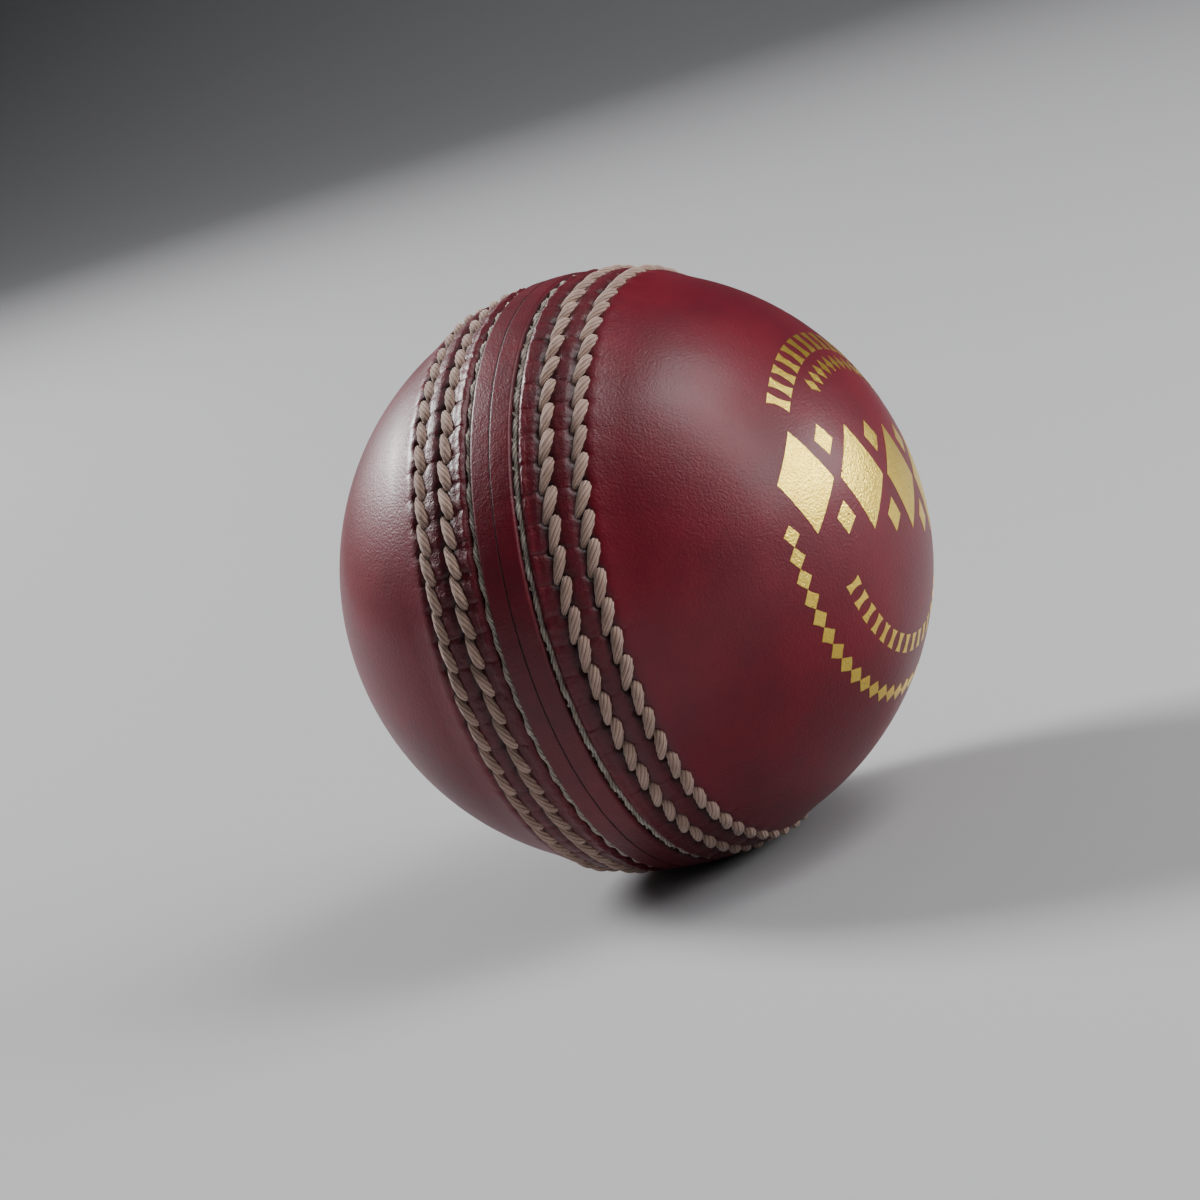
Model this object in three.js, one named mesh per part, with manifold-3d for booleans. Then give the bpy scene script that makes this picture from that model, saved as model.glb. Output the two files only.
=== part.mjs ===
// A hand-stitched cricket ball: a wound cork core inside two leather cups, closed by a seam of six rows.
//
// Millimetres, +Z up. The origin is the ball's centre, the seam lies in the YZ plane, and +X runs out
// through the pole of the stamped cup.
//
// From the inside out: a moulded nucleus, an inner winding of yarn, four inner strips of cork, a middle
// winding, four outer strips of cork, an outer winding, and the two cups of the cover. Two rows of
// stitches are sewn through each cup, and one closing thread passes to and fro between the two lips.

import * as THREE from "three";
import { mergeVertices } from "three/addons/utils/BufferGeometryUtils.js";
import Module from "manifold-3d";

const wasm = await Module();
wasm.setup();

// ---- driving dimensions ----

const BALL_RADIUS = 35.7; // the leather's surface away from the seam
const LEATHER_THICKNESS = 3.6;
const SEAM_RISE = 0.25; // how far the leather of the seam band stands proud
const STITCH_RISE = 0.7; // how far the sewn stitches stand proud
const CLOSING_RISE = -0.1; // the closing thread lies just below the surface
const SEAM_BAND_ARC = 12.4; // from the seam plane to the band's edge, along the surface

const OUTER_ROW_ARC = 10.3; // from the seam plane to each row, along the surface
const MIDDLE_ROW_ARC = 6.5;
const CLOSING_ROW_ARC = 3.0;

const STITCH_WIDTH = 1.4;
const STITCH_HEIGHT = 1.0;
const CLOSING_WIDTH = 0.9;
const CLOSING_HEIGHT = 0.9;
const THREAD = 0.8; // the thread where it passes through the leather
const FIT = 0.3; // clearance between neighbouring pieces

const HOLES = 8; // thread holes modelled in each row, an eighth of the real 64
const SEAM_SEGMENTS = 32; // facets round the seam
const CORE_SEGMENTS = 16; // facets round the core

const NUCLEUS_RADIUS = 12;
const WINDINGS = { inner_winding: [12.3, 15.3], middle_winding: [19.2, 22.5], outer_winding: [26.4, 31.5] };
const CORK_LAYERS = { inner_cork_strip: [15.6, 18.9], outer_cork_strip: [22.8, 26.1] };
const NEEDLE_HOLE_RADIUS = 1.2; // where a needle draws the yarn's tail into its winding

// ---- sizes worked out from them ----

const INNER_RADIUS = BALL_RADIUS - LEATHER_THICKNESS;
const CREST_RADIUS = BALL_RADIUS + SEAM_RISE;
const STITCH_RADIUS = BALL_RADIUS + STITCH_RISE - STITCH_HEIGHT / 2; // centre of a stitch
const GROOVE_RADIUS = STITCH_RADIUS - STITCH_HEIGHT / 2 - FIT; // floor of the groove under the stitches
const BACK_STITCH_RADIUS = INNER_RADIUS + THREAD / 2; // centre of the thread behind the leather
const BACK_GROOVE_RADIUS = BACK_STITCH_RADIUS + THREAD / 2 + FIT;
const LIP_X = FIT / 2; // each lip stops just short of the seam plane
const CLOSING_RADIUS = BALL_RADIUS + CLOSING_RISE - CLOSING_HEIGHT / 2; // centre of the closing thread
const CLOSING_GROOVE_RADIUS = CLOSING_RADIUS - CLOSING_HEIGHT / 2 - FIT;
const CROSSING_RADIUS = CLOSING_GROOVE_RADIUS - THREAD; // centre of the thread between the two lips

const angleOf = (arc) => arc / BALL_RADIUS;
const OUTER_ROW = angleOf(OUTER_ROW_ARC);
const MIDDLE_ROW = angleOf(MIDDLE_ROW_ARC);
const CLOSING_ROW = angleOf(CLOSING_ROW_ARC);
const BAND_EDGE = angleOf(SEAM_BAND_ARC);

// ---- materials ----

const material = (color, roughness) => new THREE.MeshStandardMaterial({ color, roughness, metalness: 0 });
const LEATHER = material(0x7a1420, 0.4);
const STITCH_THREAD = material(0xb8a08c, 0.85);
const CORK = material(0xb07c4a, 0.9);
const YARN = material(0xd8c9a8, 0.95);
const NUCLEUS = material(0x5a4030, 0.8);

// ---- helpers ----

// A closed three.js geometry as a solid for cutting and joining.
function solid(geometry) {
  const bare = geometry.clone();
  bare.deleteAttribute("normal");
  bare.deleteAttribute("uv");
  const merged = mergeVertices(bare, 1e-4);
  const vertProperties = merged.getAttribute("position").array;
  const triVerts = new Uint32Array(merged.index.array);
  return new wasm.Manifold(new wasm.Mesh({ numProp: 3, vertProperties, triVerts }));
}

// A finished solid as a named mesh.
function mesh(name, body, finish) {
  const { vertProperties, triVerts } = body.getMesh();
  const geometry = new THREE.BufferGeometry();
  geometry.setAttribute("position", new THREE.BufferAttribute(vertProperties, 3));
  geometry.setIndex(new THREE.BufferAttribute(triVerts, 1));
  geometry.computeVertexNormals();
  const made = new THREE.Mesh(geometry, finish);
  made.name = name;
  return made;
}

// A point of a profile: a distance from the ball's centre, and an angle up from the seam plane.
const polar = (radius, angle) => new THREE.Vector2(radius * Math.cos(angle), radius * Math.sin(angle));

// A profile turned about the X axis.
function turned(profile, segments = SEAM_SEGMENTS) {
  return solid(new THREE.LatheGeometry(profile, segments).rotateZ(-Math.PI / 2));
}

// Points along an arc, from one angle to another.
function arc(radius, from, to, steps) {
  return Array.from({ length: steps + 1 }, (_, i) => polar(radius, from + ((to - from) * i) / steps));
}

// A groove's four corners, from the seam towards the pole: it opens at one radius, and its floor is at
// another.
function groove(angle, width, open, floor) {
  const half = width / 2 / BALL_RADIUS;
  const floorHalf = half * 0.7;
  return [
    polar(open, angle - half),
    polar(floor, angle - floorHalf),
    polar(floor, angle + floorHalf),
    polar(open, angle + half),
  ];
}

// A ring of thread round the ball: an oval section, width across the row and height out of the leather.
function threadRing(radius, angle, width, height, sides) {
  const centre = polar(radius, angle);
  const outwards = polar(1, angle);
  const across = new THREE.Vector2(-outwards.y, outwards.x);
  const profile = Array.from({ length: sides + 1 }, (_, i) => {
    const turn = ((i % sides) / sides) * 2 * Math.PI;
    return centre
      .clone()
      .addScaledVector(outwards, (Math.cos(turn) * height) / 2)
      .addScaledVector(across, (Math.sin(turn) * width) / 2);
  });
  return turned(profile);
}

// A square block that runs along a radius, from low to high, at one place of one row.
function radialBlock(low, high, width, angle, turn) {
  const block = new THREE.BoxGeometry(width, high - low, width);
  block.translate(0, (low + high) / 2, 0).rotateZ(-angle).rotateX(turn);
  return solid(block);
}

// A block that runs along X across the seam plane, at one turn round the seam.
function crossBlock(low, high, width, fromX, toX, turn) {
  const block = new THREE.BoxGeometry(toX - fromX, high - low, width);
  block.translate((fromX + toX) / 2, (low + high) / 2, 0).rotateX(turn);
  return solid(block);
}

// The turns round the seam where a row has its holes.
const holeTurns = Array.from({ length: HOLES }, (_, i) => ((i + 0.125) / HOLES) * 2 * Math.PI);

// Joins many solids into one.
const joined = (solids) => solids.reduce((whole, piece) => whole.add(piece));

// ---- the cover ----

// A cup: a thick hemisphere with two grooves behind, and a raised band of three grooves outside. Its
// profile runs from the pole to the lip along the inside, and back to the pole along the outside.
function cupBlank() {
  const stitchGroove = STITCH_WIDTH + 2 * FIT;
  const closingGroove = CLOSING_WIDTH + 2 * FIT;
  const backGroove = THREAD + 2 * FIT;
  return turned([
    ...arc(INNER_RADIUS, Math.PI / 2, BAND_EDGE, 7),
    ...groove(OUTER_ROW, backGroove, INNER_RADIUS, BACK_GROOVE_RADIUS).reverse(),
    ...groove(MIDDLE_ROW, backGroove, INNER_RADIUS, BACK_GROOVE_RADIUS).reverse(),
    new THREE.Vector2(INNER_RADIUS, LIP_X),
    new THREE.Vector2(CREST_RADIUS, LIP_X),
    ...groove(CLOSING_ROW, closingGroove, CREST_RADIUS, CLOSING_GROOVE_RADIUS),
    ...groove(MIDDLE_ROW, stitchGroove, CREST_RADIUS, GROOVE_RADIUS),
    ...groove(OUTER_ROW, stitchGroove, CREST_RADIUS, GROOVE_RADIUS),
    ...arc(BALL_RADIUS, BAND_EDGE, Math.PI / 2, 9),
  ]);
}

// The holes that the threads pass through: straight through the leather in the two sewn rows, and
// sideways out of the lip in the closing row.
function cupHoles() {
  const hole = THREAD + 2 * FIT;
  return joined(
    holeTurns.flatMap((turn) => [
      radialBlock(INNER_RADIUS - 1, GROOVE_RADIUS + 0.3, hole, OUTER_ROW, turn),
      radialBlock(INNER_RADIUS - 1, GROOVE_RADIUS + 0.3, hole, MIDDLE_ROW, turn),
      crossBlock(
        CROSSING_RADIUS - hole / 2,
        CLOSING_GROOVE_RADIUS + 0.15,
        hole,
        -1,
        CLOSING_ROW_ARC + hole / 2,
        turn,
      ),
    ]),
  );
}

const cup = cupBlank().subtract(cupHoles());

// ---- the threads ----

// A sewn row: the stitches outside, the thread behind the leather, and the thread through each hole.
function sewnRow(angle) {
  const stitches = threadRing(STITCH_RADIUS, angle, STITCH_WIDTH, STITCH_HEIGHT, 6);
  const behind = threadRing(BACK_STITCH_RADIUS, angle, THREAD, THREAD, 4);
  const through = holeTurns.map((turn) =>
    radialBlock(BACK_STITCH_RADIUS, STITCH_RADIUS, THREAD * 0.75, angle, turn),
  );
  return joined([stitches, behind, ...through]);
}

// The closing thread: a row of stitches on each lip, joined where the thread crosses below the surface.
function closingThread() {
  const row = (angle) => threadRing(CLOSING_RADIUS, angle, CLOSING_WIDTH, CLOSING_HEIGHT, 6);
  const reach = CLOSING_ROW_ARC + THREAD / 2;
  const low = CROSSING_RADIUS - THREAD / 2;
  const legs = (angle, turn) => radialBlock(low, CLOSING_RADIUS, THREAD * 0.75, angle, turn);
  const crossings = holeTurns.flatMap((turn) => [
    crossBlock(low, low + THREAD, THREAD, -reach, reach, turn),
    legs(CLOSING_ROW, turn),
    legs(-CLOSING_ROW, turn),
  ]);
  return joined([row(CLOSING_ROW), row(-CLOSING_ROW), ...crossings]);
}

// ---- the core ----

const ball = (radius) =>
  solid(new THREE.SphereGeometry(radius, CORE_SEGMENTS, CORE_SEGMENTS / 2).rotateZ(Math.PI / 2));

const shell = ([inside, outside]) => ball(outside).subtract(ball(inside));

// A winding of yarn, with the hole where its tail is drawn in at the plain cup's pole.
function winding(radii) {
  const needle = new THREE.CylinderGeometry(NEEDLE_HOLE_RADIUS, NEEDLE_HOLE_RADIUS, radii[1], 6);
  needle.translate(0, radii[1] / 2 + 1, 0).rotateZ(Math.PI / 2);
  return shell(radii).subtract(solid(needle));
}

// The quarter of space that holds one strip of cork. The inner layer's strips meet on the X axis, and
// the outer layer's on the Z axis, so that no joint lies over another.
function quarter(index, meetOn) {
  const room = 2 * BALL_RADIUS;
  const block = new THREE.BoxGeometry(room, room, room);
  block.translate(0, room / 2 + FIT / 2, room / 2 + FIT / 2);
  block.scale(1.5, 1, 1).rotateX((index * Math.PI) / 2);
  if (meetOn === "z") block.rotateY(Math.PI / 2);
  return solid(block);
}

// ---- the assembly ----

const cricketBall = new THREE.Group();

cricketBall.add(mesh("nucleus", ball(NUCLEUS_RADIUS), NUCLEUS));

for (const [name, radii] of Object.entries(WINDINGS)) {
  cricketBall.add(mesh(name, winding(radii), YARN));
}

for (const [name, radii] of Object.entries(CORK_LAYERS)) {
  const meetOn = name.startsWith("outer") ? "z" : "x";
  for (let i = 0; i < 4; i++) {
    const strip = shell(radii).intersect(quarter(i, meetOn));
    cricketBall.add(mesh(`${name}_${i + 1}`, strip, CORK));
  }
}

// Each half of the cover is a cup with its two sewn rows. The plain half is the stamped one mirrored.
for (const side of ["stamped", "plain"]) {
  const half = new THREE.Group();
  half.add(mesh(`${side}_cup`, cup, LEATHER));
  half.add(mesh(`${side}_outer_row`, sewnRow(OUTER_ROW), STITCH_THREAD));
  half.add(mesh(`${side}_middle_row`, sewnRow(MIDDLE_ROW), STITCH_THREAD));
  if (side === "plain") half.scale.x = -1;
  cricketBall.add(half);
}

cricketBall.add(mesh("closing_thread", closingThread(), STITCH_THREAD));

export default cricketBall;
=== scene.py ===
"""A hand-stitched cricket ball, laid out as a Blender add-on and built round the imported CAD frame.

Metres, +Z up. The ball's centre is the origin, the seam lies in the YZ plane, and +X runs out through the
pole of the stamped cup. A place on the ball is given by its arc, the distance along the surface from the
seam plane towards a pole, and by its turn about the X axis. A turn of one stitch is one phase.
"""

from math import asin, atan2, cos, pi, radians, sin

import bmesh
import bpy
import numpy as np
from mathutils import Matrix, Vector


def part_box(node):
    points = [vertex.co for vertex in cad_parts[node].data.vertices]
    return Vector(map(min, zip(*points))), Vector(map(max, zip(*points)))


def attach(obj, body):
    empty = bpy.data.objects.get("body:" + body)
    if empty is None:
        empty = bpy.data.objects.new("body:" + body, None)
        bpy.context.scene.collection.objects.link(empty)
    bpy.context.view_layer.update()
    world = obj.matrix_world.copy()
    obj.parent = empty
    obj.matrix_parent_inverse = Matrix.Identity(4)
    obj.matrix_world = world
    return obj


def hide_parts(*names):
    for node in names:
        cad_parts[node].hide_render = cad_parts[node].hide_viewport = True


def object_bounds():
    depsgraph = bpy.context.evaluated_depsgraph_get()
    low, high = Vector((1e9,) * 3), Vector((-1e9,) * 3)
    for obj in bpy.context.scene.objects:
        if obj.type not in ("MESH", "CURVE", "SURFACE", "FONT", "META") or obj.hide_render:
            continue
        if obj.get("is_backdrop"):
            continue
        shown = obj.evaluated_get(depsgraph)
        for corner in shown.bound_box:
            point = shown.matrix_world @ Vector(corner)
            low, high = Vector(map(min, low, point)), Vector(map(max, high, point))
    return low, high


bl_info = {
    "name": "Cricket Ball",
    "version": (1, 0, 0),
    "blender": (4, 5, 0),
    "location": "3D View > Sidebar > Cricket Ball",
    "description": "Builds a hand-stitched leather cricket ball with its seam, gold stamp and wound core",
    "category": "Add Mesh",
}

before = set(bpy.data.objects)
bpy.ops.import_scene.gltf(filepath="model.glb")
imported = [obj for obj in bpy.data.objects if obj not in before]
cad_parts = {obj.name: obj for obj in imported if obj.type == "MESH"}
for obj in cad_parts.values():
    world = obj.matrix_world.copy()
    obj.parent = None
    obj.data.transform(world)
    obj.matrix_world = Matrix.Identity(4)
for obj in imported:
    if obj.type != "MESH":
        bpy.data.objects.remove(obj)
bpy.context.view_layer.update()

MM = 0.001
SIDES = {"stamped": 1, "plain": -1}  # each cup, and the way along X to its pole
BALL_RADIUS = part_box("stamped_cup")[1].x
CORE_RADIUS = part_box("outer_winding")[1].z
INNER_RADIUS = CORE_RADIUS + 0.6 * MM  # the back of the leather
LAYER_GAP = 0.3 * MM
YARN_TURNS = 110  # turns of yarn that show on the outer winding
STITCHES = 64
STITCH_TURN = 2 * pi / STITCHES
STITCH_PITCH = BALL_RADIUS * STITCH_TURN
ROW_HALF_WIDTH = 0.7 * MM  # of the CAD ring that stands for a sewn row
CLOSING_HALF_WIDTH = 0.4 * MM  # of the closing thread's CAD ring


def row_arc(ring, half_width):
    """The arc of a row of thread, from the outer edge of its CAD ring."""
    return BALL_RADIUS * asin((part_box(ring)[1].x - half_width) / BALL_RADIUS)


OUTER_ROW = row_arc("stamped_outer_row", ROW_HALF_WIDTH)
MIDDLE_ROW = row_arc("stamped_middle_row", ROW_HALF_WIDTH)
CLOSING_ROW = row_arc("closing_thread", CLOSING_HALF_WIDTH)


# ---- nodes, and sums in node trees ----


class Term:
    """A value in a node tree. A sum of Terms becomes Math nodes, so that a rule reads as a formula."""

    def __init__(self, tree, socket):
        self.tree, self.socket = tree, socket

    def math(self, operation, *values):
        made = node(self.tree, "ShaderNodeMath", dict(enumerate(values)), operation=operation)
        return Term(self.tree, made.outputs[0])

    def call(self, operation, *others):
        return self.math(operation, self, *others)

    def __neg__(self):
        return self.math("MULTIPLY", self, -1)

    def __add__(self, other):
        return self.math("ADD", self, other)

    def __radd__(self, other):
        return self.math("ADD", other, self)

    def __sub__(self, other):
        return self.math("SUBTRACT", self, other)

    def __rsub__(self, other):
        return self.math("SUBTRACT", other, self)

    def __mul__(self, other):
        return self.math("MULTIPLY", self, other)

    def __rmul__(self, other):
        return self.math("MULTIPLY", other, self)

    def __truediv__(self, other):
        return self.math("DIVIDE", self, other)

    def __rtruediv__(self, other):
        return self.math("DIVIDE", other, self)

    def __pow__(self, power):
        return self.math("POWER", self, power)


def plug(tree, value, socket):
    """Links a Term, a node's first output or a socket into a socket, or sets it to a plain value."""
    if isinstance(value, Term):
        tree.links.new(value.socket, socket)
    elif isinstance(value, bpy.types.Node):
        tree.links.new(value.outputs[0], socket)
    elif isinstance(value, bpy.types.NodeSocket):
        tree.links.new(value, socket)
    else:
        socket.default_value = value


def fill(tree, made, inputs):
    """Fills a node's inputs by name or number."""
    for key, value in inputs.items():
        plug(tree, value, made.inputs[key])


def node(tree, kind, inputs=None, **settings):
    """Adds a node with its settings, and fills its inputs."""
    made = tree.nodes.new(kind)
    for name, value in settings.items():
        setattr(made, name, value)
    fill(tree, made, inputs or {})
    return made


def ramp(value, low, high):
    """0 below low and 1 above high, with a smooth rise between them."""
    inputs = {"Value": value, "From Min": low, "From Max": high}
    made = node(value.tree, "ShaderNodeMapRange", inputs, interpolation_type="SMOOTHSTEP")
    return Term(value.tree, made.outputs[0])


def band(value, low, high, soft):
    """1 from low to high and 0 outside, with soft edges."""
    return ramp(value, low - soft, low + soft) * (1 - ramp(value, high - soft, high + soft))


def bell(value, centre, half_width):
    """1 at the centre, falling away smoothly on both sides."""
    return (-(((value - centre) / half_width) ** 2)).call("EXPONENT")


def split(tree, vector):
    """The three parts of a vector."""
    return [Term(tree, out) for out in node(tree, "ShaderNodeSeparateXYZ", {0: vector}).outputs]


def joined(tree, x, y, z):
    """A vector from its three parts."""
    return node(tree, "ShaderNodeCombineXYZ", {0: x, 1: y, 2: z})


def scaled(tree, vector, factor):
    return node(tree, "ShaderNodeVectorMath", {0: vector, "Scale": factor}, operation="SCALE")


def summed(tree, first, second):
    return node(tree, "ShaderNodeVectorMath", {0: first, 1: second}, operation="ADD")


def one_long(tree, vector):
    """A vector with its direction kept and its length made 1."""
    return node(tree, "ShaderNodeVectorMath", {0: vector}, operation="NORMALIZE")


def noise(tree, vector, size, detail=2.0, roughness=0.5, **more):
    """Smooth noise from 0 to 1, with blotches of about the given size."""
    inputs = {"Vector": vector, "Scale": 1 / size, "Detail": detail, "Roughness": roughness, **more}
    return Term(tree, node(tree, "ShaderNodeTexNoise", inputs).outputs[0])


def cells(tree, vector, size, feature="F1"):
    """Cells side by side, of about the given size."""
    return node(tree, "ShaderNodeTexVoronoi", {"Vector": vector, "Scale": 1 / size}, feature=feature)


# ---- node groups ----

SOCKETS = {
    "value": "NodeSocketFloat",
    "count": "NodeSocketInt",
    "vector": "NodeSocketVector",
    "geometry": "NodeSocketGeometry",
    "material": "NodeSocketMaterial",
}


def new_group(name, kind, inputs, outputs):
    """A node group with named sockets. An input is given as a kind of socket, or as the default of a value
    or a count. Returns the group with its inputs as Terms, and its output node."""
    tree = bpy.data.node_groups.new(name, kind)
    for label, what in inputs.items():
        given_kind = what if isinstance(what, str) else "count" if isinstance(what, int) else "value"
        socket = tree.interface.new_socket(label, in_out="INPUT", socket_type=SOCKETS[given_kind])
        if what != given_kind:
            socket.default_value = what
    for label, what in outputs.items():
        tree.interface.new_socket(label, in_out="OUTPUT", socket_type=SOCKETS[what])
    given = {socket.name: Term(tree, socket) for socket in node(tree, "NodeGroupInput").outputs}
    return tree, given, node(tree, "NodeGroupOutput")


def piece_tree(name, sizes):
    """The start of a piece's tree, which takes the mesh it grows from, its sizes and its material."""
    inputs = {"Geometry": "geometry", **sizes, "Material": "material"}
    return new_group(name, "GeometryNodeTree", inputs, {"Geometry": "geometry"})


def finish_piece(tree, geometry, given, out):
    """The end of a piece's tree: real geometry with its material."""
    inputs = {"Geometry": realized(tree, geometry), "Material": given["Material"]}
    plug(tree, node(tree, "GeometryNodeSetMaterial", inputs), out.inputs["Geometry"])
    return tree


def shared(name):
    """A node group by its name, made the first time it is asked for."""
    return bpy.data.node_groups.get(name) or GROUP_MAKERS[name]()


def use_group(tree, name, inputs):
    """Places a node group in a tree, and returns its outputs by name."""
    group = shared(name)
    made = node(tree, group.bl_idname.replace("Tree", "Group"), inputs, node_tree=group)
    return {out.name: Term(tree, out) for out in made.outputs}


# ---- steps that the pieces' trees share ----


def named(tree, name):
    """A value that the mesh holds."""
    made = node(tree, "GeometryNodeInputNamedAttribute", {"Name": name}, data_type="FLOAT")
    return Term(tree, made.outputs[0])


def stored(tree, geometry, name, value, data_type="FLOAT"):
    """Keeps a value on each point of the geometry, under a name."""
    inputs = {"Geometry": geometry, "Name": name, "Value": value}
    return node(tree, "GeometryNodeStoreNamedAttribute", inputs, data_type=data_type, domain="POINT")


def point_place(tree):
    return node(tree, "GeometryNodeInputPosition")


def point_number(tree):
    return Term(tree, node(tree, "GeometryNodeInputIndex").outputs[0])


def moved(tree, geometry, place):
    """The geometry with its points at new places."""
    return node(tree, "GeometryNodeSetPosition", {"Geometry": geometry, "Position": place})


def spots(tree, count):
    """Points that instances can go on, all in one place."""
    return node(tree, "GeometryNodeMeshLine", {"Count": count, "Offset": (0, 0, 0)})


def ring_curve(tree, steps, radius):
    return node(tree, "GeometryNodeCurvePrimitiveCircle", {"Resolution": steps, "Radius": radius})


def instanced(tree, points, shape, **turned):
    inputs = {"Points": points, "Instance": shape, **turned}
    return node(tree, "GeometryNodeInstanceOnPoints", inputs)


def realized(tree, geometry):
    return node(tree, "GeometryNodeRealizeInstances", {"Geometry": geometry})


def inside_out(tree, mesh):
    return node(tree, "GeometryNodeFlipFaces", {"Mesh": mesh})


def gathered(tree, *parts):
    """Several geometries as one."""
    made = node(tree, "GeometryNodeJoinGeometry")
    for part in parts:
        plug(tree, part, made.inputs[0])
    return made


def aimed(tree, up, across):
    """A rotation that points Z along up, and X as near to across as it can."""
    inputs = {0: up, 1: across}
    return node(tree, "FunctionNodeAxesToRotation", inputs, primary_axis="Z", secondary_axis="X")


def random_vector(tree, low, high, seed, **more):
    inputs = {0: low, 1: high, "Seed": seed, **more}
    return node(tree, "FunctionNodeRandomValue", inputs, data_type="FLOAT_VECTOR").outputs[0]


def on_ball(tree, arc, turn, height):
    """The place on the ball at an arc, a turn about X and a height above the leather."""
    angle = arc / BALL_RADIUS
    from_centre = height + BALL_RADIUS
    reach = from_centre * angle.call("COSINE")
    x = from_centre * angle.call("SINE")
    return joined(tree, x, reach * turn.call("COSINE"), reach * turn.call("SINE"))


# ---- meshes and pieces ----


def mesh_of(name, points, faces, edges=()):
    mesh = bpy.data.meshes.new(name)
    mesh.from_pydata([tuple(p) for p in points], list(edges), [tuple(f) for f in faces])
    return mesh


def hold(mesh, **values):
    """Keeps lists of values on a mesh's points, under their names."""
    for name, each in values.items():
        mesh.attributes.new(name, "FLOAT", "POINT").data.foreach_set("value", each)


def face_outwards(mesh):
    """Turns every face of a closed mesh to point outwards."""
    work = bmesh.new()
    work.from_mesh(mesh)
    bmesh.ops.recalc_face_normals(work, faces=work.faces)
    work.to_mesh(mesh)
    work.free()


def grown(tree_name, start=None, **inputs):
    """Runs a piece's tree once, on a mesh if it grows from one, and keeps its result as a plain mesh."""
    tree = shared(tree_name)
    source = bpy.data.objects.new("source", start or bpy.data.meshes.new("start"))
    bpy.context.scene.collection.objects.link(source)
    modifier = source.modifiers.new("Shape", "NODES")
    modifier.node_group = tree
    for item in tree.interface.items_tree:
        key = item.name.lower()
        if item.in_out == "INPUT" and key in inputs:
            modifier[item.identifier] = inputs[key]
    graph = bpy.context.evaluated_depsgraph_get()
    mesh = bpy.data.meshes.new_from_object(
        source.evaluated_get(graph), preserve_all_data_layers=True, depsgraph=graph
    )
    bpy.data.objects.remove(source)
    return mesh


def add_piece(name, mesh, slot, *replaced):
    """Puts a finished piece on the ball, in place of its CAD nodes."""
    mesh.name = name
    mesh.shade_smooth()
    piece = bpy.data.objects.new(name, mesh)
    bpy.context.scene.collection.objects.link(piece)
    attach(piece, "root")
    if replaced:
        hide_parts(*replaced)
    return piece


# ---- effects that materials share ----


def object_place(tree):
    return node(tree, "ShaderNodeTexCoord").outputs["Object"]


def grain_group():
    """Tanned grain: small pebbles between fine wrinkles, and the broad patches that dye leaves."""
    inputs = {"Place": "vector", "Pebble": 0.4 * MM, "Wrinkle": 0.5 * MM}
    tree, given, out = new_group("Grain", "ShaderNodeTree", inputs, {"Height": "value", "Mottle": "value"})
    wrinkles = noise(tree, given["Place"], given["Wrinkle"], 3.0, Distortion=0.6)
    pebbles = 1 - Term(tree, cells(tree, given["Place"], given["Pebble"]).outputs[0])
    mottle = noise(tree, given["Place"], 14 * MM, 3.0, 0.6)
    fill(tree, out, {"Height": wrinkles * 0.75 + pebbles * 0.35, "Mottle": mottle})
    return tree


def grime_and_shade_group():
    """Dirt and wax that gather in hollows, together with painted shade in the same hollows, broken up a
    little.
    """
    inputs = {"Place": "vector", "Hollow": "value", "Amount": 1.0}
    tree, given, out = new_group("Grime", "ShaderNodeTree", inputs, {"Mask": "value"})
    patches = noise(tree, given["Place"], 1.5 * MM, 3.0)
    settled = ramp(given["Hollow"] * (0.6 + patches * 0.8), 0.1, 0.9)
    plug(tree, settled * given["Amount"], out.inputs["Mask"])
    return tree


def strand_group():
    """Twisted strands: where the surface lies in the groove between two strands, and fine fibres on it."""
    inputs = {"Section": "vector", "Along": "value", "Strands": 7.0}
    outputs = {"Height": "value", "Groove": "value", "Fibre": "value"}
    tree, given, out = new_group("Strands", "ShaderNodeTree", inputs, outputs)
    x, y, _ = split(tree, given["Section"])
    crest = (y.call("ARCTAN2", x) * given["Strands"] / 2).call("COSINE").call("ABSOLUTE")
    fibre = noise(tree, joined(tree, x * 9, y * 9, given["Along"] / (1.2 * MM)), 0.2, 3.0)
    groove = 1 - ramp(crest, 0.0, 0.55)
    fill(tree, out, {"Height": crest * 0.8 + fibre * 0.3, "Groove": groove, "Fibre": fibre})
    return tree


def granule_group():
    """Pressed granules of mixed tone, with dark gaps between them."""
    inputs = {"Place": "vector", "Size": 1.5 * MM}
    outputs = {"Tone": "value", "Gap": "value", "Height": "value"}
    tree, given, out = new_group("Granules", "ShaderNodeTree", inputs, outputs)
    size = given["Size"]
    warp = node(tree, "ShaderNodeTexNoise", {"Vector": given["Place"], "Scale": 1.5 / size})
    place = summed(tree, given["Place"], scaled(tree, warp.outputs[1], size * 0.5))
    tone = split(tree, cells(tree, place, size).outputs["Color"])[0]
    from_edge = Term(tree, cells(tree, place, size, "DISTANCE_TO_EDGE").outputs[0])
    gap = 1 - ramp(from_edge, 0.02, 0.12)
    fill(tree, out, {"Tone": tone, "Gap": gap, "Height": tone * 0.4 - gap * 0.6})
    return tree


# ---- materials ----


def new_material(name, **constants):
    """A material with one Principled BSDF, and the constants set on the shader's own sockets."""
    material = bpy.data.materials.new(name)
    material.use_nodes = True
    tree = material.node_tree
    shader = tree.nodes["Principled BSDF"]
    for label, value in constants.items():
        shader.inputs[label.replace("_", " ").title().replace("Ior", "IOR")].default_value = value
    return material, tree, shader


def tinted(colour, factor):
    """A plain colour made darker or lighter."""
    return tuple(min(1, part * factor) for part in colour)


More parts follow.
